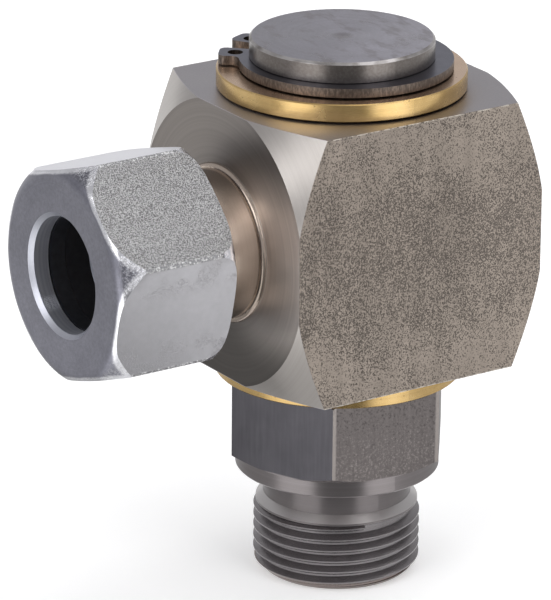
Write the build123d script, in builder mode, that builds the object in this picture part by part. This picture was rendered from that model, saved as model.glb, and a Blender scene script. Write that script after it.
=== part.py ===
from build123d import *
import math
import os

# Hydraulic rotary union: a square body with one tube connection that swivels
# on a hexagon spindle.  Oil goes in through the tube, round the gallery of the
# spindle, through four cross holes and out through the spindle's threaded stud.
#
# Frame: millimetres, +Z up along the spindle.  The origin is the centre of the
# stud's sealing face, which seats on the machine.  The tube leaves along -Y.

# ---------------------------------------------------------------- dimensions
# levels along the spindle
port_z = 34.0  # axis of the tube connection
body_half = 18.0  # square body, half its side
shoulder_z = 13.5  # top of the spindle's hexagon
spindle_top_z = 58.75
washer_t = 2.4
lower_washer_z = 13.55
upper_washer_z = 52.2
clip_z = 54.8
clip_t = 1.2
clip_groove_z = (54.78, 56.08)

# spindle
journal_r = 12.0
journal_edge = 0.3
clip_groove_r = 11.45
gallery_half = 6.5
gallery_r = 10.25
seal_groove_z = (7.0, 10.2)  # measured from the port axis, both ways
seal_groove_r = 8.25
cross_hole_r = 3.5
flow_bore_r = 5.5
flow_bore_top_z = 39.0
spindle_hex_af = 27.0
spindle_hex_turn = -36.5
hex_bottom_z = 3.4
collar_top_z = 2.2
collar_r = 13.45
collar_edge = 0.25
seal_recess_r = 11.6
seal_recess = 0.3
relief_r = 9.75
relief_len = 3.78
lead_r = 10.72  # full collar under the relief, before the first thread groove
lead_slope = 1.0  # fall of its lead-in cone, per unit of radius
stud_len = 14.3
stud_tip_r = 9.7
centre_mark_r = 1.1
centre_mark_depth = 0.07

# M22 x 1.5 threads: stud, tube stub and nut
thread_r = 11.0
pitch = 1.5
root_r = 10.08  # outside thread
minor_r = 10.19  # inside thread
crest_half = pitch / 16
thread_gap = 0.06  # play of the nut on the stub's thread
ridge_foot_r = 9.95  # the ridges reach a little into the core
flank = math.tan(math.radians(30))
foot_half = crest_half + (thread_r - ridge_foot_r) * flank

# body
body_near = 18.34  # end faces, measured along the tube axis from the spindle
body_far = 19.2
end_circle_r = 18.82
cone_near = 4.04  # length of the turned cone down to the corner edges
cone_far = 4.2
main_bore_r = 12.05
counterbore_r = 13.5
counterbore_depth = 6.0

# tube stub, all measured along the tube axis from the spindle
neck_r = 9.85
neck_fillet = 0.65
neck_end = 24.2
stub_end = 34.5
tube_socket_r = 7.55
tube_stop = 27.5
cone_mouth_r = 8.5
tube_bore_r = 6.0
stub_thread_start = 25.5  # middle of the ridge's lower end
spigot_r = 8.2  # joins the stub to the body, inside the neck

# union nut
nut_af = 27.0
nut_turn = 16.56
nut_rear = 25.0
nut_front = 42.4
nut_mouth_r = 7.63
nut_mouth_chamfer = 0.57
nut_lip = 39.7
nut_thread_end = 35.2
nut_shell_r = 11.6

# thrust washers, guide bushes, seals
washer_or = 16.22
washer_ir = 12.1
bush_or = 13.49
bush_ir = 12.025
bush_z = (12.02, 15.98)  # from the port axis
dust_ring_z = 16.98
dust_ring_r = 0.8
slip_ring_or = 12.0
slip_ring_ir = 10.6
oring_r = 1.3

# retaining ring, an eccentric open ring with two eared ends
clip_ir = 11.5
clip_or = 13.87
clip_shift = 0.58
clip_gap_at = -142.0
clip_gap_half = 6.0
lug_or = 15.95
lug_span = 14.0
lug_hole_r = 1.0
lug_hole_at = 13.8
ear_root_r = 1.2

# ---------------------------------------------------------------- references
# along the tube: local x runs out through the tube stub, local y is radius
tube = Plane(origin=(0, 0, port_z), x_dir=(0, -1, 0), z_dir=(-1, 0, 0))
tube_axis = Axis((0, 0, port_z), (0, -1, 0))
middle = Plane.XY.offset(port_z)


def across_tube(distance):
    """The plane square to the tube, seen from its open end."""
    return Plane(origin=(0, -distance, port_z), x_dir=(1, 0, 0), z_dir=(0, -1, 0))


# ---------------------------------------------------------------- spindle
# hexagon with its lower corners turned off
with BuildPart() as spindle_hex:
    with BuildSketch(Plane.XY.offset(collar_top_z)):
        RegularPolygon(
            spindle_hex_af / 2, 6, major_radius=False, rotation=spindle_hex_turn
        )
    extrude(amount=shoulder_z - collar_top_z)
    corner_r = spindle_hex_af / math.sqrt(3)
    with BuildSketch(Plane.XZ):
        with BuildLine():
            Polyline(
                (0, collar_top_z),
                (collar_r, collar_top_z),
                (corner_r + 0.05, hex_bottom_z + 0.03),
                (corner_r + 0.05, shoulder_z - 0.35),
                (corner_r - 0.6, shoulder_z),
                (0, shoulder_z),
                close=True,
            )
        make_face()
    revolve(axis=Axis.Z, mode=Mode.INTERSECT)

# the stud with its thread: a helical ridge on a core, turned to length with
# its end chamfer; under the relief a full collar with a cone leads into it, and
# the ridge starts away from the core's seam
with BuildPart() as stud_ridge:
    with BuildLine():
        stud_helix = Helix(
            pitch=pitch,
            height=stud_len + 0.5 - relief_len - 1.62,
            radius=ridge_foot_r,
            center=(0, 0, -stud_len - 0.5),
        )
    with BuildSketch(Plane(origin=stud_helix @ 0, x_dir=(1, 0, 0), z_dir=(0, -1, 0))):
        with BuildLine():
            Polyline(
                (0, -foot_half),
                (thread_r - ridge_foot_r, -crest_half),
                (thread_r - ridge_foot_r, crest_half),
                (0, foot_half),
                close=True,
            )
        make_face()
    sweep(path=stud_helix, is_frenet=True)

with BuildPart() as stud:
    with BuildSketch(Plane.XZ):
        with BuildLine():
            Polyline(
                (0, -stud_len),
                (stud_tip_r, -stud_len),
                (root_r, -stud_len + root_r - stud_tip_r),
                (root_r, -relief_len - 1.6),
                (lead_r, -relief_len - 1.25),
                (lead_r, -relief_len - (lead_r - relief_r) * lead_slope),
                (relief_r, -relief_len),
                (relief_r, -relief_len / 2),
                (0, -relief_len / 2),
                close=True,
            )
        make_face()
    revolve(axis=Axis.Z)
    add(stud_ridge.part, rotation=(0, 0, 250))
    with BuildSketch(Plane.XZ):
        with BuildLine():
            Polyline(
                (0, -stud_len),
                (stud_tip_r, -stud_len),
                (thread_r + 0.5, -stud_len + thread_r + 0.5 - stud_tip_r),
                (thread_r + 0.5, 0),
                (0, 0),
                close=True,
            )
        make_face()
    revolve(axis=Axis.Z, mode=Mode.INTERSECT)

with BuildPart() as spindle:
    # turned outside, from the stud's tip up to the top of the journal
    low, high = seal_groove_z
    with BuildSketch(Plane.XZ):
        with BuildLine():
            Polyline(
                (0, -relief_len / 2),
                (relief_r, -relief_len / 2),
                (relief_r, seal_recess),
                (seal_recess_r, seal_recess),
                (seal_recess_r + 0.3, 0),
                (collar_r - collar_edge, 0),
                (collar_r, collar_edge),
                (collar_r, collar_top_z + 0.5),
                (journal_r, collar_top_z + 0.5),
                (journal_r, port_z - high),
                (seal_groove_r, port_z - high),
                (seal_groove_r, port_z - low),
                (journal_r, port_z - low),
                (journal_r, port_z - gallery_half),
                (gallery_r, port_z - gallery_half),
                (gallery_r, port_z + gallery_half),
                (journal_r, port_z + gallery_half),
                (journal_r, port_z + low),
                (seal_groove_r, port_z + low),
                (seal_groove_r, port_z + high),
                (journal_r, port_z + high),
                (journal_r, clip_groove_z[0]),
                (clip_groove_r, clip_groove_z[0]),
                (clip_groove_r, clip_groove_z[1]),
                (journal_r, clip_groove_z[1]),
                (journal_r, spindle_top_z - journal_edge),
                (journal_r - journal_edge, spindle_top_z),
                (centre_mark_r, spindle_top_z),
                (0, spindle_top_z - centre_mark_depth),
                close=True,
            )
        make_face()
    revolve(axis=Axis.Z)
    add(spindle_hex.part)
    add(stud.part)
    # drilled flow bore with its 118 degree bottom and a broken edge
    with BuildSketch(Plane.XZ):
        with BuildLine():
            Polyline(
                (0, -stud_len - 1),
                (flow_bore_r + 1.5, -stud_len - 1),
                (flow_bore_r, -stud_len + 0.5),
                (flow_bore_r, flow_bore_top_z),
                (0, flow_bore_top_z + flow_bore_r / math.tan(math.radians(59))),
                close=True,
            )
        make_face()
    revolve(axis=Axis.Z, mode=Mode.SUBTRACT)
    # four cross holes from the gallery into the bore
    for angle in (45, 135):
        with BuildSketch(
            Plane(
                origin=(0, 0, port_z),
                x_dir=(0, 0, 1),
                z_dir=(math.cos(math.radians(angle)), math.sin(math.radians(angle)), 0),
            )
        ):
            Circle(cross_hole_r)
        extrude(amount=journal_r + 1, both=True, mode=Mode.SUBTRACT)
spindle.part.label = "spindle"

# ---------------------------------------------------------------- body
# square bar with both ends turned to a flat cone
with BuildPart() as body_bar:
    with BuildSketch(across_tube(-body_far)):
        Rectangle(2 * body_half, 2 * body_half)
    extrude(amount=body_near + body_far)
    corner = body_half * math.sqrt(2)
    with BuildSketch(tube):
        with BuildLine():
            Polyline(
                (-body_far, 0),
                (-body_far, end_circle_r),
                (-body_far + cone_far, corner),
                (-body_far + cone_far, corner + 1),
                (body_near - cone_near, corner + 1),
                (body_near - cone_near, corner),
                (body_near, end_circle_r),
                (body_near, 0),
                close=True,
            )
        make_face()
    revolve(axis=tube_axis, mode=Mode.INTERSECT)

# the thread of the tube stub, made along +Z and then turned to the tube
with BuildPart() as stub_ridge:
    with BuildLine():
        stub_helix = Helix(
            pitch=pitch,
            height=stub_end + 0.2 - stub_thread_start,
            radius=ridge_foot_r,
            center=(0, 0, stub_thread_start),
        )
    with BuildSketch(Plane(origin=stub_helix @ 0, x_dir=(1, 0, 0), z_dir=(0, -1, 0))):
        with BuildLine():
            Polyline(
                (0, -foot_half),
                (thread_r - ridge_foot_r, -crest_half),
                (thread_r - ridge_foot_r, crest_half),
                (0, foot_half),
                close=True,
            )
        make_face()
    sweep(path=stub_helix, is_frenet=True)

with BuildPart() as stub:
    with BuildSketch(Plane.XZ):
        with BuildLine():
            Polyline(
                (0, body_near - 4),
                (spigot_r, body_near - 4),
                (spigot_r, body_near + 2),
                (neck_r, body_near + 2),
                (neck_r, neck_end),
                (root_r, neck_end + root_r - neck_r),
                (root_r, stub_end),
                (0, stub_end),
                close=True,
            )
        make_face()
    revolve(axis=Axis.Z)
    add(stub_ridge.part, rotation=(0, 0, 180))
    with BuildSketch(Plane.XZ):
        with BuildLine():
            Polyline(
                (0, body_near - 5),
                (thread_r + 0.5, body_near - 5),
                (thread_r + 0.5, stub_end - 1.4),
                (thread_r - 0.9, stub_end),
                (0, stub_end),
                close=True,
            )
        make_face()
    revolve(axis=Axis.Z, mode=Mode.INTERSECT)

with BuildPart() as housing:
    add(body_bar.part)
    # tube stub: neck with its root radius, then the threaded end
    with BuildSketch(tube):
        with BuildLine():
            Polyline(
                (0, 0),
                (0, neck_r),
                (body_near - 1, neck_r),
                (body_near - 1, neck_r + neck_fillet),
                (body_near, neck_r + neck_fillet),
            )
            RadiusArc(
                (body_near, neck_r + neck_fillet),
                (body_near + neck_fillet, neck_r),
                neck_fillet,
            )
            Polyline(
                (body_near + neck_fillet, neck_r),
                (body_near + 2, neck_r),
                (body_near + 2, 0),
                (0, 0),
            )
        make_face()
    revolve(axis=tube_axis)
    with Locations(across_tube(0)):
        add(stub.part)
    # 24 degree cone, tube socket down to the tube stop, then the flow bore
    with BuildSketch(tube):
        with BuildLine():
            Polyline(
                (0, 0),
                (0, tube_bore_r),
                (tube_stop, tube_bore_r),
                (tube_stop, tube_socket_r),
                (
                    stub_end - (cone_mouth_r - tube_socket_r) / math.tan(math.radians(12)),
                    tube_socket_r,
                ),
                (stub_end, cone_mouth_r),
                (stub_end + 1, cone_mouth_r + math.tan(math.radians(12))),
                (stub_end + 1, 0),
                close=True,
            )
        make_face()
    revolve(axis=tube_axis, mode=Mode.SUBTRACT)
    # bore for the spindle, counterbored at both ends for bush and dust ring
    with BuildSketch(Plane.XZ):
        with BuildLine():
            Polyline(
                (0, port_z - body_half - 1),
                (counterbore_r, port_z - body_half - 1),
                (counterbore_r, port_z - body_half + counterbore_depth),
                (main_bore_r, port_z - body_half + counterbore_depth),
                (main_bore_r, port_z + body_half - counterbore_depth),
                (counterbore_r, port_z + body_half - counterbore_depth),
                (counterbore_r, port_z + body_half + 1),
                (0, port_z + body_half + 1),
                close=True,
            )
        make_face()
    revolve(axis=Axis.Z, mode=Mode.SUBTRACT)
housing.part.label = "housing"

# ---------------------------------------------------------------- union nut
# its thread fills the stub's groove with a little play on each flank
with BuildPart() as nut_ridge:
    with BuildLine():
        nut_helix = Helix(
            pitch=pitch,
            height=nut_thread_end - nut_rear + 1.5,
            radius=minor_r,
            center=(0, 0, stub_thread_start - pitch / 2),
        )
    tip_half = pitch / 2 - crest_half - (thread_r - minor_r) * flank - thread_gap
    nut_foot = thread_r + thread_gap + 0.12 - minor_r
    with BuildSketch(Plane(origin=nut_helix @ 0, x_dir=(1, 0, 0), z_dir=(0, -1, 0))):
        with BuildLine():
            Polyline(
                (0, -tip_half),
                (nut_foot, -tip_half - nut_foot * flank),
                (nut_foot, tip_half + nut_foot * flank),
                (0, tip_half),
                close=True,
            )
        make_face()
    sweep(path=nut_helix, is_frenet=True)

with BuildPart() as nut_thread:
    with BuildSketch(Plane.XZ):
        with BuildLine():
            Polyline(
                (thread_r + thread_gap, nut_rear + 0.9),
                (nut_shell_r, nut_rear + 0.9),
                (nut_shell_r, nut_thread_end),
                (thread_r + thread_gap, nut_thread_end),
                close=True,
            )
        make_face()
    revolve(axis=Axis.Z)
    add(nut_ridge.part, rotation=(0, 0, 180))
    with BuildSketch(Plane.XZ):
        with BuildLine():
            Polyline(
                (minor_r - 0.2, nut_rear + 2.1),
                (thread_r + thread_gap, nut_rear + 0.9),
                (nut_shell_r, nut_rear + 0.9),
                (nut_shell_r, nut_thread_end),
                (thread_r + thread_gap, nut_thread_end),
                (minor_r - 0.2, nut_thread_end - 0.9),
                close=True,
            )
        make_face()
    revolve(axis=Axis.Z, mode=Mode.INTERSECT)

with BuildPart() as union_nut:
    with BuildSketch(across_tube(nut_rear)):
        RegularPolygon(nut_af / 2, 6, major_radius=False, rotation=nut_turn)
    extrude(amount=nut_front - nut_rear)
    fillet(union_nut.edges().filter_by(Axis.Y), radius=0.5)
    # turned ends, rounded into the faces
    with BuildSketch(tube):
        with BuildLine():
            Polyline(
                (nut_rear + 3.8, 15.65),
                (nut_rear + 1.7, 15.25),
            )
            ThreePointArc(
                (nut_rear + 1.7, 15.25),
                (nut_rear + 0.61, 14.675),
                (nut_rear, 13.2),
            )
            Polyline(
                (nut_rear, 13.2),
                (nut_rear, 0),
                (nut_front, 0),
                (nut_front, 12.6),
            )
            ThreePointArc(
                (nut_front, 12.6),
                (nut_front - 0.273, 13.562),
                (nut_front - 0.95, 14.2),
            )
            Polyline(
                (nut_front - 0.95, 14.2),
                (nut_front - 3.6, 15.65),
                (nut_rear + 3.8, 15.65),
            )
        make_face()
    revolve(axis=tube_axis, mode=Mode.INTERSECT)
    # inside: room for the thread, seat for the cutting ring at 45 degrees and
    # the mouth for the tube
    with BuildSketch(tube):
        with BuildLine():
            Polyline(
                (nut_rear - 1, 0),
                (nut_rear - 1, thread_r + 1.3),
                (nut_rear + 0.2, thread_r + 0.3),
                (nut_rear + 0.9, thread_r + 0.1),
                (nut_rear + 0.9, nut_shell_r),
                (nut_thread_end, nut_shell_r),
                (nut_thread_end, thread_r + 0.15),
                (nut_lip - (thread_r + 0.15 - nut_mouth_r), thread_r + 0.15),
                (nut_lip, nut_mouth_r),
                (nut_front - nut_mouth_chamfer, nut_mouth_r),
                (nut_front, nut_mouth_r + nut_mouth_chamfer),
                (nut_front + 1, nut_mouth_r + nut_mouth_chamfer + 1),
                (nut_front + 1, 0),
                close=True,
            )
        make_face()
    revolve(axis=tube_axis, mode=Mode.SUBTRACT)
    with Locations(across_tube(0)):
        add(nut_thread.part)
union_nut.part.label = "union_nut"

# ---------------------------------------------------------------- cutting ring
with BuildPart() as cutting_ring:
    with BuildSketch(tube):
        with BuildLine():
            Polyline(
                (31.6, 7.56),
                (31.6, 7.80),
                (34.6, 8.38),
                (35.5, 8.45),
                (35.9, 9.1),
                (38.05, 9.1),
                (39.5, 7.66),
                (39.5, 7.56),
                (37.2, 7.56),
                (37.0, 7.75),
                (33.6, 7.75),
                (33.4, 7.56),
                close=True,
            )
        make_face()
    revolve(axis=tube_axis)
cutting_ring.part.label = "cutting_ring"

# ---------------------------------------------------------------- thrust washers
with BuildPart() as upper_thrust_washer:
    with BuildSketch(Plane.XY.offset(upper_washer_z)):
        Circle(washer_or)
        Circle(washer_ir, mode=Mode.SUBTRACT)
    extrude(amount=washer_t)
    chamfer(upper_thrust_washer.edges().filter_by(GeomType.CIRCLE), length=0.15)
upper_thrust_washer.part.label = "upper_thrust_washer"

with BuildPart() as lower_thrust_washer:
    with BuildSketch(Plane.XY.offset(lower_washer_z)):
        Circle(washer_or)
        Circle(washer_ir, mode=Mode.SUBTRACT)
    extrude(amount=washer_t)
    chamfer(lower_thrust_washer.edges().filter_by(GeomType.CIRCLE), length=0.15)
lower_thrust_washer.part.label = "lower_thrust_washer"

# ---------------------------------------------------------------- retaining ring
gap = math.radians(clip_gap_at)
with BuildPart() as retaining_ring:
    with BuildSketch(Plane.XY.offset(clip_z)):
        # widest opposite the gap
        with Locations((-clip_shift * math.cos(gap), -clip_shift * math.sin(gap))):
            Circle(clip_or)
        # ears
        for side in (-1, 1):
            near = math.radians(clip_gap_at + side * clip_gap_half)
            far = math.radians(clip_gap_at + side * (clip_gap_half + lug_span))
            mid = (near + far) / 2
            with BuildLine():
                Polyline(
                    (0, 0),
                    (lug_or * math.cos(near), lug_or * math.sin(near)),
                )
                ThreePointArc(
                    (lug_or * math.cos(near), lug_or * math.sin(near)),
                    (lug_or * math.cos(mid), lug_or * math.sin(mid)),
                    (lug_or * math.cos(far), lug_or * math.sin(far)),
                )
                Line(
                    (lug_or * math.cos(far), lug_or * math.sin(far)),
                    (0, 0),
                )
            make_face()
        # inside edge, which sits in the spindle's groove
        Circle(clip_ir, mode=Mode.SUBTRACT)
        # gap between the ears
        with BuildLine():
            a = math.radians(clip_gap_at - clip_gap_half)
            b = math.radians(clip_gap_at + clip_gap_half)
            Polyline(
                (0, 0),
                (20 * math.cos(a), 20 * math.sin(a)),
                (20 * math.cos(b), 20 * math.sin(b)),
                close=True,
            )
        make_face(mode=Mode.SUBTRACT)
        # plier holes
        for side in (-1, 1):
            turn = math.radians(clip_gap_at + side * (clip_gap_half + lug_span / 2 + 0.3))
            with Locations((lug_hole_at * math.cos(turn), lug_hole_at * math.sin(turn))):
                Circle(lug_hole_r, mode=Mode.SUBTRACT)
    extrude(amount=clip_t)
    ear_edges = (
        retaining_ring.edges()
        .filter_by(Axis.Z)
        .filter_by(lambda e: math.hypot(e.center().X, e.center().Y) > lug_or - 0.1)
    )
    fillet(ear_edges, radius=0.9)
    ear_roots = (
        retaining_ring.edges()
        .filter_by(Axis.Z)
        .filter_by(
            lambda e: clip_ir + 0.4 < math.hypot(e.center().X, e.center().Y) < lug_or - 0.4
            and min(
                abs(
                    math.degrees(math.atan2(e.center().Y, e.center().X))
                    - (clip_gap_at + side * (clip_gap_half + lug_span))
                )
                for side in (-1, 1)
            )
            < 1.5
        )
    )
    fillet(ear_roots, radius=ear_root_r)
retaining_ring.part.label = "retaining_ring"

# ---------------------------------------------------------------- guide bushes
with BuildPart() as upper_guide_bush:
    with BuildSketch(Plane.XY.offset(port_z + bush_z[0])):
        Circle(bush_or)
        Circle(bush_ir, mode=Mode.SUBTRACT)
    extrude(amount=bush_z[1] - bush_z[0])
    chamfer(upper_guide_bush.edges().filter_by(GeomType.CIRCLE), length=0.2)
upper_guide_bush.part.label = "upper_guide_bush"

with BuildPart() as lower_guide_bush:
    mirror(upper_guide_bush.part, about=middle)
lower_guide_bush.part.label = "lower_guide_bush"

# ---------------------------------------------------------------- dust rings
# round cord squeezed flat between the spindle and the counterbore
with BuildPart() as upper_dust_oring:
    with BuildSketch(Plane.XZ):
        with Locations(((journal_r + counterbore_r) / 2, port_z + dust_ring_z)):
            Circle(dust_ring_r)
            Rectangle(
                counterbore_r - journal_r - 0.1, 2 * dust_ring_r, mode=Mode.INTERSECT
            )
    revolve(axis=Axis.Z)
upper_dust_oring.part.label = "upper_dust_oring"

with BuildPart() as lower_dust_oring:
    mirror(upper_dust_oring.part, about=middle)
lower_dust_oring.part.label = "lower_dust_oring"

# ---------------------------------------------------------------- pressure seals
# a slip ring that runs on the body's bore ...
with BuildPart() as upper_slip_ring:
    with BuildSketch(Plane.XY.offset(port_z + seal_groove_z[0] + 0.1)):
        Circle(slip_ring_or)
        Circle(slip_ring_ir, mode=Mode.SUBTRACT)
    extrude(amount=seal_groove_z[1] - seal_groove_z[0] - 0.2)
    chamfer(
        upper_slip_ring.edges().filter_by(GeomType.CIRCLE).sort_by(SortBy.RADIUS)[-2:],
        length=0.25,
    )
upper_slip_ring.part.label = "upper_slip_ring"

with BuildPart() as lower_slip_ring:
    mirror(upper_slip_ring.part, about=middle)
lower_slip_ring.part.label = "lower_slip_ring"

# ... pressed out by an O-ring under it
with BuildPart() as upper_seal_oring:
    with BuildSketch(Plane.XZ):
        with Locations(
            ((seal_groove_r + slip_ring_ir) / 2, port_z + sum(seal_groove_z) / 2)
        ):
            Circle(oring_r)
            Rectangle(
                slip_ring_ir - seal_groove_r - 0.04, 2 * oring_r, mode=Mode.INTERSECT
            )
    revolve(axis=Axis.Z)
upper_seal_oring.part.label = "upper_seal_oring"

with BuildPart() as lower_seal_oring:
    mirror(upper_seal_oring.part, about=middle)
lower_seal_oring.part.label = "lower_seal_oring"

# ---------------------------------------------------------------- export
os.makedirs("parts", exist_ok=True)
export_step(spindle.part, "parts/spindle.step")
export_step(housing.part, "parts/housing.step")
export_step(union_nut.part, "parts/union_nut.step")
export_step(cutting_ring.part, "parts/cutting_ring.step")
export_step(upper_thrust_washer.part, "parts/upper_thrust_washer.step")
export_step(lower_thrust_washer.part, "parts/lower_thrust_washer.step")
export_step(retaining_ring.part, "parts/retaining_ring.step")
export_step(upper_guide_bush.part, "parts/upper_guide_bush.step")
export_step(lower_guide_bush.part, "parts/lower_guide_bush.step")
export_step(upper_dust_oring.part, "parts/upper_dust_oring.step")
export_step(lower_dust_oring.part, "parts/lower_dust_oring.step")
export_step(upper_slip_ring.part, "parts/upper_slip_ring.step")
export_step(lower_slip_ring.part, "parts/lower_slip_ring.step")
export_step(upper_seal_oring.part, "parts/upper_seal_oring.step")
export_step(lower_seal_oring.part, "parts/lower_seal_oring.step")
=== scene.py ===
import math

import bpy
from mathutils import Matrix, Vector

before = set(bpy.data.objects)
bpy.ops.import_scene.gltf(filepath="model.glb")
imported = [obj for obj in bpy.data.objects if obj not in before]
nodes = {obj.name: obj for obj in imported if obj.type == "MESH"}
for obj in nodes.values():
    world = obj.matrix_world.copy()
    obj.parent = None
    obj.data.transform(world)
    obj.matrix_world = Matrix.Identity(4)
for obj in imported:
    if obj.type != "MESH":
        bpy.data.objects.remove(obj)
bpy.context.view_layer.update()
scene = bpy.context.scene
MM = 0.001

# ------------------------------------------------------------------ camera
cam_data = bpy.data.cameras.new("camera")
cam = bpy.data.objects.new("camera", cam_data)
scene.collection.objects.link(cam)
cam_data.lens = 319.0467
cam_data.sensor_width = 36.0
cam_data.clip_start, cam_data.clip_end = 0.01, 20.0
right = Vector((0.552129, 0.833720, 0.008065))
up = Vector((-0.289231, 0.182453, 0.939711))
back = Vector((0.781984, -0.521174, 0.341875))
place = Matrix((right, up, back)).transposed().to_4x4()
place.translation = Vector((0.5391912, -0.3693186, 0.2602374))
cam.matrix_world = place
scene.camera = cam
scene.view_settings.view_transform = "Standard"

# ------------------------------------------------------------------ studio
FLOOR_Z = -14.32 * MM


def softbox(name, azimuth, elevation, distance, width, height, radiance, tint=(1, 1, 1)):
    """An area light that faces the part from a direction, with a given radiance."""
    data = bpy.data.lights.new(name, "AREA")
    data.shape = "RECTANGLE"
    data.size, data.size_y = width, height
    data.energy = radiance * math.pi * width * height
    data.color = tint
    light = bpy.data.objects.new(name, data)
    scene.collection.objects.link(light)
    a, e = math.radians(azimuth), math.radians(elevation)
    way = Vector((math.sin(a) * math.cos(e), -math.cos(a) * math.cos(e), math.sin(e)))
    light.location = way * distance + Vector((0, 0, 0.03))
    light.rotation_mode = "QUATERNION"
    light.rotation_quaternion = way.to_track_quat("Z", "Y")
    light.visible_camera = False
    return light


softbox("softbox_left", 12, 32, 1.1, 0.80, 0.62, 2.5)
softbox("softbox_right", 98, 34, 1.1, 0.56, 0.62, 2.4)
softbox("softbox_top", 175, 70, 1.2, 0.9, 0.9, 1.6)

world = bpy.data.worlds.new("studio")
scene.world = world
world.use_nodes = True
wt = world.node_tree
wt.nodes.clear()
w_out = wt.nodes.new("ShaderNodeOutputWorld")
w_bg = wt.nodes.new("ShaderNodeBackground")
w_tc = wt.nodes.new("ShaderNodeTexCoord")
w_sep = wt.nodes.new("ShaderNodeSeparateXYZ")
w_ramp = wt.nodes.new("ShaderNodeValToRGB")
wt.links.new(w_tc.outputs["Generated"], w_sep.inputs[0])
wt.links.new(w_sep.outputs["Z"], w_ramp.inputs[0])
wt.links.new(w_ramp.outputs[0], w_bg.inputs["Color"])
wt.links.new(w_bg.outputs[0], w_out.inputs[0])
w_ramp.color_ramp.elements[0].position = 0.0
w_ramp.color_ramp.elements[0].color = (0.60, 0.60, 0.615, 1)
w_ramp.color_ramp.elements[1].position = 0.9
w_ramp.color_ramp.elements[1].color = (0.52, 0.52, 0.53, 1)
w_bg.inputs["Strength"].default_value = 1.0


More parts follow.
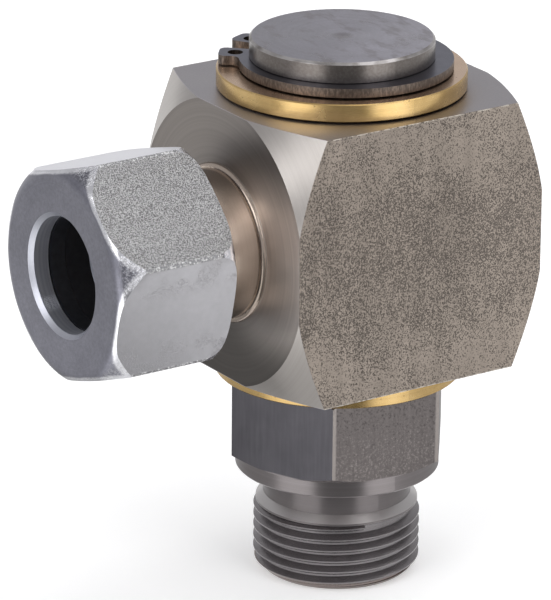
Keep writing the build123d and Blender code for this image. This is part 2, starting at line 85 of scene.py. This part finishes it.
# ------------------------------------------------------------------ node helper
class Nodes:
    """Short ways to write a material's nodes. An argument is a socket or a number."""

    def __init__(self, name):
        self.material = bpy.data.materials.new(name)
        self.material.use_nodes = True
        self.tree = self.material.node_tree
        self.tree.nodes.clear()
        self.out = self.tree.nodes.new("ShaderNodeOutputMaterial")
        self.shader = self.tree.nodes.new("ShaderNodeBsdfPrincipled")
        self.tree.links.new(self.shader.outputs[0], self.out.inputs["Surface"])

    def put(self, node, key, value):
        if value is None:
            return
        socket = node.inputs[key]
        if isinstance(value, bpy.types.NodeSocket):
            self.tree.links.new(value, socket)
        else:
            socket.default_value = value

    def m(self, op, a, b=None, c=None, clamp=False):
        n = self.tree.nodes.new("ShaderNodeMath")
        n.operation = op
        n.use_clamp = clamp
        for i, v in enumerate((a, b, c)):
            self.put(n, i, v)
        return n.outputs[0]

    def add(self, a, b):
        return self.m("ADD", a, b)

    def sub(self, a, b):
        return self.m("SUBTRACT", a, b)

    def mul(self, a, b):
        return self.m("MULTIPLY", a, b)

    def absolute(self, a):
        return self.m("ABSOLUTE", a)

    def maximum(self, a, b):
        return self.m("MAXIMUM", a, b)

    def minimum(self, a, b):
        return self.m("MINIMUM", a, b)

    def step(self, value, low, high, to_low=0.0, to_high=1.0):
        """Smooth change from to_low to to_high as value goes from low to high."""
        n = self.tree.nodes.new("ShaderNodeMapRange")
        n.interpolation_type = "SMOOTHSTEP"
        self.put(n, "Value", value)
        self.put(n, "From Min", low)
        self.put(n, "From Max", high)
        self.put(n, "To Min", to_low)
        self.put(n, "To Max", to_high)
        return n.outputs["Result"]

    def xyz(self, vector):
        n = self.tree.nodes.new("ShaderNodeSeparateXYZ")
        self.put(n, 0, vector)
        return n.outputs[0], n.outputs[1], n.outputs[2]

    def vec(self, x, y, z):
        n = self.tree.nodes.new("ShaderNodeCombineXYZ")
        for i, v in enumerate((x, y, z)):
            self.put(n, i, v)
        return n.outputs[0]

    def position(self):
        """Place on the part in millimetres, and the normal there."""
        tc = self.tree.nodes.new("ShaderNodeTexCoord")
        n = self.tree.nodes.new("ShaderNodeVectorMath")
        n.operation = "SCALE"
        self.tree.links.new(tc.outputs["Object"], n.inputs[0])
        n.inputs["Scale"].default_value = 1000.0
        return n.outputs[0], tc.outputs["Normal"]

    def noise(self, vector, scale, detail=2.0, rough=0.5, distortion=0.0, w=None):
        n = self.tree.nodes.new("ShaderNodeTexNoise")
        if w is not None:
            n.noise_dimensions = "4D"
            self.put(n, "W", w)
        self.put(n, "Vector", vector)
        self.put(n, "Scale", scale)
        self.put(n, "Detail", detail)
        self.put(n, "Roughness", rough)
        self.put(n, "Distortion", distortion)
        return n.outputs[0]

    def cells(self, vector, scale, feature="F1", randomness=1.0):
        n = self.tree.nodes.new("ShaderNodeTexVoronoi")
        n.feature = feature
        self.put(n, "Vector", vector)
        self.put(n, "Scale", scale)
        self.put(n, "Randomness", randomness)
        return n.outputs["Distance"]

    def mix(self, f, a, b):
        """Colour between a and b."""
        n = self.tree.nodes.new("ShaderNodeMix")
        n.data_type = "RGBA"
        n.clamp_factor = True
        self.put(n, 0, f)
        for key, v in ((6, a), (7, b)):
            if not isinstance(v, bpy.types.NodeSocket):
                v = (*v, 1.0) if len(v) == 3 else v
            self.put(n, key, v)
        return n.outputs[2]

    def scaled(self, colour, f):
        """Colour times a factor."""
        n = self.tree.nodes.new("ShaderNodeVectorMath")
        n.operation = "SCALE"
        self.put(n, 0, colour)
        self.put(n, "Scale", f)
        return n.outputs[0]

    def blend(self, f, a, b):
        """Number between a and b."""
        n = self.tree.nodes.new("ShaderNodeMix")
        n.data_type = "FLOAT"
        n.clamp_factor = True
        self.put(n, 0, f)
        self.put(n, 2, a)
        self.put(n, 3, b)
        return n.outputs[0]

    def bump(self, height, distance_mm, strength=1.0, normal=None):
        n = self.tree.nodes.new("ShaderNodeBump")
        self.put(n, "Height", height)
        self.put(n, "Distance", distance_mm * MM)
        self.put(n, "Strength", strength)
        self.put(n, "Normal", normal)
        return n.outputs[0]

    def radial(self, axis):
        """Tangent along the circles round the node's axis."""
        n = self.tree.nodes.new("ShaderNodeTangent")
        n.direction_type = "RADIAL"
        n.axis = axis
        return n.outputs[0]

    def finish(self, colour, rough, normal=None, metallic=1.0, **constants):
        self.put(self.shader, "Base Color", colour)
        self.put(self.shader, "Roughness", rough)
        self.put(self.shader, "Metallic", metallic)
        self.put(self.shader, "Normal", normal)
        for key, v in constants.items():
            self.put(self.shader, key.replace("_", " "), v)
        return self.material


def dress(node, material):
    mesh = nodes[node].data
    if not mesh.materials:
        mesh.materials.append(material)
    for i in range(len(mesh.materials)):
        mesh.materials[i] = material


# ------------------------------------------------------------------ body steel
def body_steel():
    n = Nodes("body_steel")
    p, normal = n.position()
    x, y, z = n.xyz(p)
    nx, ny, nz = n.xyz(normal)
    qz = n.sub(z, 34.0)
    ax, az = n.absolute(x), n.absolute(qz)
    rho = n.m("SQRT", n.add(n.mul(x, x), n.mul(qz, qz)))
    along = n.vec(rho, y, 0.0)

    # where the drawn bar is left as it was, and where it is turned
    raw = n.step(n.maximum(ax, az), 17.90, 17.97)
    side = n.mul(n.step(ax, 17.90, 17.97), raw)
    flat_end = n.mul(n.step(n.absolute(ny), 0.97, 0.995), n.maximum(n.step(rho, 9.0, 9.5), n.step(y, 0.0, 1.0)))
    neck = n.step(n.mul(y, -1.0), 18.36, 18.45)
    fillet = n.mul(neck, n.step(rho, 9.88, 9.95))
    inside = n.step(n.m("SQRT", n.add(n.mul(x, x), n.mul(y, y))), 13.9, 13.6)

    # drawn and pickled bar: speckle of pits, clouds and faint bands across the bar
    clouds = n.noise(p, 0.16, 3.0, 0.55)
    stretched = n.vec(n.mul(x, 0.25), y, n.mul(qz, 0.12))
    bands = n.noise(stretched, 0.55, 2.0, 0.5)
    grain = n.noise(n.vec(x, n.mul(y, 1.25), n.mul(qz, 0.85)), 5.0, 3.0, 0.65)
    fine = n.noise(p, 11.0, 2.0, 0.6)
    middle = n.step(n.sub(az, n.mul(clouds, 6.0)), 11.5, 3.0)
    lean = n.add(n.add(n.mul(clouds, 0.16), n.mul(middle, 0.050)), n.step(qz, 7.0, 17.0, 0.0, -0.005))
    dots = n.noise(n.vec(x, n.mul(y, 1.1), qz), 5.2, 1.5, 0.5)
    pits = n.step(n.add(n.add(n.mul(dots, 0.52), n.mul(fine, 0.22)), n.add(n.mul(grain, 0.26), lean)), 0.590, 0.672)
    raw_tone = n.add(n.add(n.step(y, 2.0, 16.0, 0.94, 1.08), n.mul(n.sub(bands, 0.5), 0.40)), n.mul(n.sub(clouds, 0.5), 0.35))
    raw_colour = n.scaled(n.mix(n.mul(pits, 0.84), (0.335, 0.288, 0.248), (0.082, 0.071, 0.064)), n.mul(raw_tone, n.step(qz, 2.0, 14.0, 1.0, 0.90)))
    raw_rough = n.add(0.44, n.mul(n.sub(fine, 0.5), 0.25))

    # ground top and bottom: greyer, with a fine even grain
    top_grain = n.noise(p, 4.0, 3.0, 0.6)
    top_colour = n.scaled(n.mix(clouds, (0.395, 0.375, 0.40), (0.45, 0.43, 0.44)), n.add(0.86, n.mul(top_grain, 0.28)))

    # turned ends: rings round the tube axis
    rings = n.noise(along, 9.0, 3.0, 0.65)
    coarse = n.noise(along, 1.6, 2.0, 0.5)
    # the cones are painted darker towards the bottom: painted shade
    low = n.step(qz, 4.0, -13.0)
    cone_painted_shade = n.blend(low, 1.0, 0.80)
    cone_colour = n.scaled(n.mix(coarse, (0.43, 0.40, 0.375), (0.50, 0.47, 0.45)), n.mul(n.mul(cone_painted_shade, n.step(qz, 4.0, 14.0, 1.0, 0.93)), n.add(0.86, n.mul(rings, 0.2))))
    # end faces: painted shade darkens them towards the bottom, and a painted highlight lightens the +x side
    end_colour_with_painted_light = n.scaled(n.mix(coarse, (0.22, 0.198, 0.185), (0.33, 0.30, 0.278)), n.mul(n.blend(n.step(qz, 3.0, -13.0), 0.95, 0.32), n.add(n.add(0.74, n.mul(rings, 0.36)), n.mul(n.step(x, 0.5, 10.0, 0.0, 2.6), n.step(n.absolute(qz), 15.0, 5.0)))))
    neck_colour = n.scaled(n.mix(rings, (0.60, 0.49, 0.41), (0.74, 0.63, 0.54)), 0.68)

    colour = n.mix(flat_end, cone_colour, end_colour_with_painted_light)
    colour = n.mix(neck, colour, neck_colour)
    colour = n.mix(raw, colour, top_colour)
    colour = n.mix(side, colour, raw_colour)
    # bright burr along the long edges of the bar
    edge = n.mul(n.step(n.minimum(ax, az), 17.80, 17.95), n.step(n.noise(p, 1.3, 2.0), 0.40, 0.55))
    colour = n.mix(n.mul(edge, 0.7), colour, (0.62, 0.58, 0.52))

    rough = n.blend(flat_end, 0.30, 0.36)
    rough = n.blend(neck, rough, 0.22)
    rough = n.blend(raw, rough, 0.40)
    rough = n.blend(side, rough, raw_rough)

    ring_bump = n.bump(n.mul(rings, n.sub(1.0, raw)), 0.012, 0.6)
    raw_bump = n.bump(n.mul(n.sub(n.mul(fine, 0.4), pits), side), 0.035, 0.8, ring_bump)
    top_bump = n.bump(n.mul(top_grain, n.sub(raw, side)), 0.012, 0.5, raw_bump)
    return n.finish(colour, rough, top_bump, Anisotropic=0.6, Anisotropic_Rotation=0.25, Tangent=n.radial("Y"))


# ------------------------------------------------------------------ spindle steel
def spindle_steel():
    n = Nodes("spindle_steel")
    p, normal = n.position()
    x, y, z = n.xyz(p)
    nx, ny, nz = n.xyz(normal)
    rho = n.m("SQRT", n.add(n.mul(x, x), n.mul(y, y)))
    along = n.vec(rho, 0.0, z)

    top = n.mul(n.step(z, 58.6, 58.7), n.step(nz, 0.9, 0.97))
    head = n.step(z, 54.0, 54.5)
    hexagon = n.mul(n.mul(n.step(z, 2.3, 2.5), n.step(z, 13.6, 13.5)), n.step(n.absolute(nz), 0.2, 0.05))
    # which of the flats: the flat whose normal points towards -66.5 degrees is smoother, and painted darker as painted
    # shade
    thread = n.step(z, -5.0, -5.1)
    tip = n.step(z, -13.0, -13.1)

    rings = n.noise(along, 8.0, 3.0, 0.6)
    coarse = n.noise(along, 1.1, 2.0, 0.5)
    clouds = n.noise(p, 0.22, 3.0, 0.55)
    grain = n.noise(p, 3.0, 3.0, 0.6)
    fine = n.noise(p, 8.0, 2.0, 0.6)

    arcs = n.noise(n.vec(rho, n.mul(x, 0.03), z), 2.2, 2.0, 0.5)
    top_tone = n.add(n.add(0.80, n.mul(rings, 0.16)), n.add(n.mul(arcs, 0.22), n.mul(n.sub(grain, 0.5), 0.30)))
    # the top face is painted lighter towards one side and darker towards the other: painted light
    top_colour = n.scaled(n.mix(clouds, (0.265, 0.253, 0.28), (0.43, 0.417, 0.475)), n.mul(top_tone, n.step(n.add(n.mul(x, 0.552), n.mul(y, 0.834)), -11.0, 11.0, 0.87, 1.18)))
    worn = n.step(n.noise(n.vec(n.mul(x, 0.5), y, z), 0.55, 3.0, 0.6), 0.50, 0.68)
    top_colour = n.mix(n.mul(worn, 0.45), top_colour, (0.185, 0.160, 0.162))
    smudge = n.mul(n.mul(top, n.step(n.add(rho, n.mul(grain, 0.8)), 2.3, 1.0)), 0.45)
    head_colour = n.scaled(n.mix(n.step(grain, 0.38, 0.66), (0.150, 0.133, 0.123), (0.185, 0.168, 0.157)), 1.0)
    # a lighter ring painted along the top edge: painted highlight
    rim_highlight = n.mul(n.step(z, 58.36, 58.46), n.mul(n.step(rho, 11.62, 11.70), n.step(n.noise(p, 0.5, 1.0), 0.20, 0.70)))
    # flats: the one turned furthest towards the port side is smooth and blue-grey, and painted darker as
    # painted shade; the others are scaly, with a painted highlight along the corners
    smooth_shaded_flat = n.step(n.sub(n.mul(nx, 0.3987), n.mul(ny, 0.9171)), 0.95, 0.99)
    lower = n.step(z, 12.0, 4.5)
    flake = n.add(n.add(n.mul(grain, 0.6), n.mul(fine, 0.4)), n.mul(lower, 0.06))
    flakes = n.step(flake, 0.55, 0.70)
    pits = n.step(flake, 0.47, 0.36)
    drawn = n.noise(n.vec(x, y, n.mul(z, 0.07)), 2.4, 2.0, 0.5)
    scaly = n.mix(n.mul(flakes, n.add(0.25, n.mul(lower, 0.5))), (0.135, 0.121, 0.119), (0.27, 0.245, 0.235))
    scaly = n.mix(n.mul(pits, 0.6), scaly, (0.055, 0.05, 0.05))
    bluish = n.mix(clouds, (0.080, 0.077, 0.087), (0.122, 0.118, 0.130))
    hex_colour = n.scaled(n.mix(smooth_shaded_flat, scaly, bluish), n.add(0.82, n.mul(drawn, 0.36)))
    # a lighter line painted along the corners of the scaly flats: painted highlight
    corner_highlight = n.mul(n.step(rho, 15.28, 15.42), n.sub(1.0, smooth_shaded_flat))
    hex_colour = n.mix(n.mul(corner_highlight, 0.8), hex_colour, (0.32, 0.29, 0.275))
    turned = n.scaled(n.mix(coarse, (0.235, 0.213, 0.214), (0.32, 0.295, 0.298)), n.add(0.85, n.mul(rings, 0.3)))
    thread_colour = n.scaled(n.mix(coarse, (0.20, 0.187, 0.192), (0.28, 0.265, 0.27)), n.add(0.8, n.mul(clouds, 0.4)))

    colour = n.mix(head, turned, head_colour)
    colour = n.mix(rim_highlight, colour, (0.46, 0.44, 0.435))
    colour = n.mix(top, colour, top_colour)
    colour = n.mix(smudge, colour, (0.12, 0.098, 0.095))
    colour = n.mix(hexagon, colour, hex_colour)
    # below the collar the turned steel is painted darker: painted shade under the collar
    colour = n.mix(n.step(z, -0.2, -0.3), colour, n.scaled(turned, 0.72))
    # the upward-facing lead chamfer below the relief is painted light: painted highlight
    lead_highlight = n.mul(n.step(z, -3.75, -3.85), n.step(nz, 0.2, 0.4))
    colour = n.mix(lead_highlight, colour, (0.50, 0.48, 0.475))
    colour = n.mix(thread, colour, thread_colour)
    colour = n.mix(n.mul(tip, 0.5), colour, (0.26, 0.20, 0.17))

    rough = n.blend(hexagon, 0.30, n.add(0.36, n.mul(n.sub(fine, 0.5), 0.2)))
    rough = n.blend(thread, rough, 0.27)
    rough = n.blend(top, rough, n.add(0.30, n.mul(n.sub(clouds, 0.5), 0.2)))

    b1 = n.bump(n.mul(rings, n.sub(1.0, hexagon)), 0.010, 0.5)
    b2 = n.bump(n.mul(n.sub(n.mul(fine, 0.5), pits), n.mul(hexagon, n.sub(1.0, smooth_shaded_flat))), 0.02, 0.6, b1)
    return n.finish(colour, rough, b2, Anisotropic=0.5, Anisotropic_Rotation=0.25, Tangent=n.radial("Z"))


# ------------------------------------------------------------------ zinc plate
def zinc_plate():
    n = Nodes("zinc_plate")
    p, normal = n.position()
    x, y, z = n.xyz(p)
    nx, ny, nz = n.xyz(normal)
    qz = n.sub(z, 34.0)
    rho = n.m("SQRT", n.add(n.mul(x, x), n.mul(qz, qz)))
    facing = n.step(n.mul(ny, -1.0), 0.58, 0.82)
    # the flat that faces 46.6 degrees up kept its forged, sandy skin
    sandy = n.step(n.add(n.mul(nx, 0.6876), n.mul(nz, 0.7261)), 0.985, 0.997)
    flats = n.mul(n.step(n.absolute(ny), 0.06, 0.01), n.step(rho, 12.5, 13.0))

    grit = n.noise(p, 6.0, 2.0, 0.65)
    soft = n.noise(p, 1.2, 3.0, 0.5)
    clouds = n.noise(p, 0.25, 2.0, 0.5)
    rings = n.noise(n.vec(rho, 0.0, y), 7.0, 3.0, 0.6)

    # distance inside the hexagon's flats
    spread = n.absolute(n.add(n.mul(x, 0.6876), n.mul(qz, 0.7261)))
    for degrees in (106.56, 166.56):
        c, sn = math.cos(math.radians(degrees)), math.sin(math.radians(degrees))
        spread = n.maximum(spread, n.absolute(n.add(n.mul(x, c), n.mul(qz, sn))))
    depth = n.sub(13.5, spread)
    front = n.mul(facing, n.maximum(n.step(depth, 0.35, 0.75), n.step(n.mul(ny, -1.0), 0.94, 0.99)))
    # the flat that faces most nearly straight up is painted near-white: painted highlight
    lit_upward_flat = n.step(n.sub(n.mul(nz, 0.9585), n.mul(nx, 0.2850)), 0.985, 0.997)

    flat_colour = n.scaled(n.mix(soft, (0.44, 0.435, 0.455), (0.51, 0.505, 0.53)), n.add(0.92, n.mul(clouds, 0.16)))
    flat_colour = n.mix(lit_upward_flat, flat_colour, (0.90, 0.90, 0.94))
    sandy_colour = n.mix(n.step(grit, 0.37, 0.63), (0.165, 0.162, 0.165), (0.56, 0.56, 0.565))
    worn = n.noise(n.vec(x, n.mul(y, 1.0), qz), 2.2, 4.0, 0.65)
    front_tone = n.add(n.add(0.42, n.mul(rings, 0.30)), n.add(n.mul(worn, 0.62), n.mul(grit, 0.22)))
    front_colour = n.scaled(n.mix(clouds, (0.160, 0.160, 0.190), (0.235, 0.235, 0.272)), n.mul(front_tone, n.step(qz, 2.0, -12.0, 1.0, 1.16)))
    scar = n.step(n.noise(p, 3.4, 3.0, 0.7), 0.47, 0.60)
    scars = n.mul(scar, n.mul(n.step(rho, 13.6, 14.5), n.step(n.noise(p, 0.30, 1.0), 0.40, 0.52)))
    front_colour = n.mix(n.mul(scars, 0.7), front_colour, (0.50, 0.50, 0.53))
    # painted highlight along the rounded line of the flats
    bevel_highlight = n.mul(n.step(n.add(depth, n.mul(n.sub(worn, 0.5), 0.6)), 0.75, 0.35), n.step(rho, 12.7, 13.1))
    bevel_colour = n.mix(bevel_highlight, front_colour, n.mix(soft, (0.62, 0.62, 0.66), (0.85, 0.85, 0.88)))

    colour = n.mix(flats, bevel_colour, flat_colour)
    colour = n.mix(sandy, colour, sandy_colour)
    colour = n.mix(front, colour, front_colour)
    # knocked edges between the flats
    ridge = n.mul(n.step(rho, 15.37, 15.44), n.step(n.absolute(ny), 0.5, 0.3))
    colour = n.mix(ridge, colour, n.mix(scar, (0.30, 0.30, 0.31), (0.85, 0.85, 0.86)))
    inside = n.mul(n.step(rho, 8.5, 8.3), n.step(n.absolute(ny), 0.9, 0.5))
    wall = n.noise(n.vec(rho, y, 0.0), 3.5, 3.0, 0.6)
    colour = n.mix(inside, colour, n.mix(wall, (0.48, 0.50, 0.60), (0.95, 0.97, 1.0)))

    rough = n.blend(flats, 0.22, 0.42)
    rough = n.blend(sandy, rough, 0.48)
    rough = n.blend(front, rough, 0.36)
    rough = n.blend(inside, rough, 0.5)
    bump = n.bump(n.mul(grit, n.add(0.08, n.mul(sandy, 0.92))), 0.13, 0.9, n.bump(n.mul(scar, n.add(n.mul(ridge, 0.9), n.mul(scars, 0.5))), 0.06, 0.8))
    return n.finish(colour, rough, bump, Anisotropic=0.15, Tangent=n.radial("Y"))


# ------------------------------------------------------------------ brass
def brass():
    n = Nodes("brass")
    p, normal = n.position()
    x, y, z = n.xyz(p)
    nx, ny, nz = n.xyz(normal)
    rho = n.m("SQRT", n.add(n.mul(x, x), n.mul(y, y)))
    face = n.step(n.absolute(nz), 0.9, 0.98)
    streaks = n.noise(n.vec(rho, 0.0, z), 6.0, 3.0, 0.6)
    clouds = n.noise(p, 0.35, 3.0, 0.55)
    nicks = n.step(n.noise(p, 1.9, 2.0, 0.5), 0.70, 0.74)
    side_colour = n.scaled(n.mix(clouds, (0.44, 0.285, 0.10), (0.74, 0.53, 0.25)), n.mul(n.step(z, 50.9, 52.0, 0.92, 1.04), n.add(0.78, n.mul(streaks, 0.36))))
    face_colour = n.mix(clouds, (0.66, 0.47, 0.33), (0.76, 0.57, 0.42))
    colour = n.mix(face, side_colour, face_colour)
    colour = n.mix(n.mul(nicks, 0.6), colour, (0.20, 0.13, 0.06))
    rough = n.add(0.20, n.mul(clouds, 0.12))
    bump = n.bump(n.sub(n.mul(streaks, 0.5), nicks), 0.012, 0.6)
    return n.finish(colour, rough, bump, Anisotropic=0.4, Tangent=n.radial("Z"))


# ------------------------------------------------------------------ spring steel
def spring_steel():
    n = Nodes("spring_steel")
    p, normal = n.position()
    x, y, z = n.xyz(p)
    nx, ny, nz = n.xyz(normal)
    edge = n.step(n.absolute(nz), 0.6, 0.3)
    clouds = n.noise(p, 0.8, 3.0, 0.55)
    torn = n.noise(n.vec(n.mul(x, 1.0), n.mul(y, 1.0), n.mul(z, 0.35)), 4.0, 3.0, 0.65)
    face_colour = n.mix(clouds, (0.105, 0.105, 0.135), (0.165, 0.165, 0.205))
    edge_colour = n.mix(n.step(torn, 0.36, 0.72), (0.095, 0.078, 0.068), (0.205, 0.165, 0.138))
    colour = n.mix(edge, face_colour, edge_colour)
    rough = n.blend(edge, 0.30, 0.42)
    bump = n.bump(n.mul(torn, edge), 0.03, 0.6)
    return n.finish(colour, rough, bump)


def plain(name, light, dark, rough, metallic, scale=1.2):
    n = Nodes(name)
    p, normal = n.position()
    mottle = n.noise(p, scale, 3.0, 0.6)
    fine = n.noise(p, scale * 6, 2.0, 0.6)
    colour = n.mix(mottle, dark, light)
    return n.finish(colour, n.add(rough, n.mul(n.sub(fine, 0.5), 0.15)), n.bump(fine, 0.006, 0.5), metallic=metallic)


steel_body = body_steel()
steel_spindle = spindle_steel()
zinc = zinc_plate()
brass_material = brass()
spring = spring_steel()
ring_steel = plain("ring_steel", (0.17, 0.18, 0.21), (0.10, 0.105, 0.12), 0.42, 1.0)
bronze = plain("bush_bronze", (0.58, 0.40, 0.20), (0.45, 0.30, 0.14), 0.38, 1.0)
rubber = plain("seal_rubber", (0.022, 0.022, 0.023), (0.012, 0.012, 0.013), 0.55, 0.0)
slip = plain("slip_plastic", (0.20, 0.17, 0.13), (0.14, 0.12, 0.09), 0.45, 0.0)

dress("housing", steel_body)
dress("spindle", steel_spindle)
dress("union_nut", zinc)
dress("cutting_ring", ring_steel)
dress("upper_thrust_washer", brass_material)
dress("lower_thrust_washer", brass_material)
dress("retaining_ring", spring)
for name in ("upper_guide_bush", "lower_guide_bush"):
    dress(name, bronze)
for name in ("upper_dust_oring", "lower_dust_oring", "upper_seal_oring", "lower_seal_oring"):
    dress(name, rubber)
for name in ("upper_slip_ring", "lower_slip_ring"):
    dress(name, slip)

# ------------------------------------------------------------------ floor
floor_mesh = bpy.data.meshes.new("floor")
s = 3.0
floor_mesh.from_pydata(
    [(-s, -s, FLOOR_Z), (s, -s, FLOOR_Z), (s, s, FLOOR_Z), (-s, s, FLOOR_Z)],
    [],
    [(0, 1, 2, 3)],
)
floor = bpy.data.objects.new("floor", floor_mesh)
scene.collection.objects.link(floor)
f = Nodes("floor_white")
floor_mesh.materials.append(
    f.finish((0.93, 0.93, 0.93, 1.0), 0.9, metallic=0.0, Emission_Color=(1, 1, 1, 1), Emission_Strength=0.27)
)

# ------------------------------------------------------------------ reflector card
# lies on the floor round the part and is met by glossy rays only: the polished
# surfaces mirror two lit sectors with a flag between them
card_mesh = bpy.data.meshes.new("card")
steps = 96
inner, outer = 0.030, 1.5
verts, faces = [], []
for i in range(steps):
    a = 2 * math.pi * i / steps
    for r in (inner, outer):
        verts.append((r * math.cos(a), r * math.sin(a), FLOOR_Z + 0.4 * MM))
for i in range(steps):
    j = (i + 1) % steps
    faces.append((2 * i, 2 * i + 1, 2 * j + 1, 2 * j))
card_mesh.from_pydata(verts, [], faces)
card = bpy.data.objects.new("card", card_mesh)
scene.collection.objects.link(card)
c = Nodes("card_light")
cp, _ = c.position()
cx, cy, _ = c.xyz(cp)
# bearing in degrees, from the port's side (-Y) towards +X
bearing = c.mul(c.m("ARCTAN2", cx, c.mul(cy, -1.0)), 180.0 / math.pi)
lit_left = c.mul(c.step(bearing, -9.0, -2.0), c.step(bearing, 38.0, 29.0))
lit_right = c.mul(c.step(bearing, 80.0, 88.0), c.step(bearing, 121.0, 112.0))
flag = c.mul(c.step(bearing, 29.0, 38.0), c.step(bearing, 88.0, 80.0))
low_left = c.mul(c.step(bearing, -75.0, -50.0), c.step(bearing, -2.0, -12.0))
level = c.add(1.0, c.mul(c.add(lit_left, lit_right), 1.05))
level = c.add(level, c.mul(flag, -0.74))
level = c.add(level, c.mul(low_left, -0.22))
reach = c.m("SQRT", c.add(c.mul(cx, cx), c.mul(cy, cy)))
# dimmer close to the part: painted shadow of the part on the floor, seen in reflections
level = c.mul(level, c.step(reach, 30.0, 120.0, 0.42, 1.0))
card_mesh.materials.append(
    c.finish((0, 0, 0, 1.0), 1.0, metallic=0.0, Emission_Color=(1, 1, 1, 1), Emission_Strength=level, Specular_IOR_Level=0.0)
)
card.visible_camera = False
card.visible_diffuse = False
card.visible_shadow = False
card.visible_transmission = False
